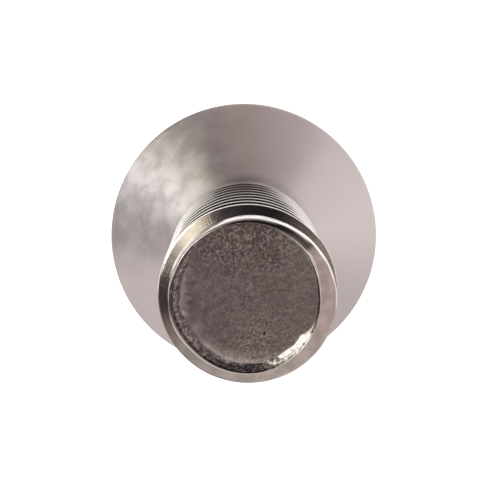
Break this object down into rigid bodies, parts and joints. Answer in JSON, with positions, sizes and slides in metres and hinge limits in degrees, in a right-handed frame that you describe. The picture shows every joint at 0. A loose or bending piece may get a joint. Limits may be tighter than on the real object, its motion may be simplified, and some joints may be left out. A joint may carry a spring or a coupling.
{
  "type": "countersunk socket screw",
  "caption": "Countersunk machine screw with a hexagon socket, a right-hand metric thread up to a short neck, and a chamfered, dished point.",
  "frame": {"origin": "centre of the head's flat face, which the screw stands on", "axes": "+Z along the screw's axis from the head to the point; +Y is up and +X is right in the picture, which looks down on the point"},
  "size_m": [0.0197, 0.0196, 0.025],
  "materials": {
    "plated_steel": "satin nickel-coloured plating, soft and mottled on the seat, brighter on the thread's crests and the point's rim, darker and grainy in the dished point"
  },
  "bodies": {
    "root": {"countersunk_screw": "plated_steel"}
  },
  "joints": []
}
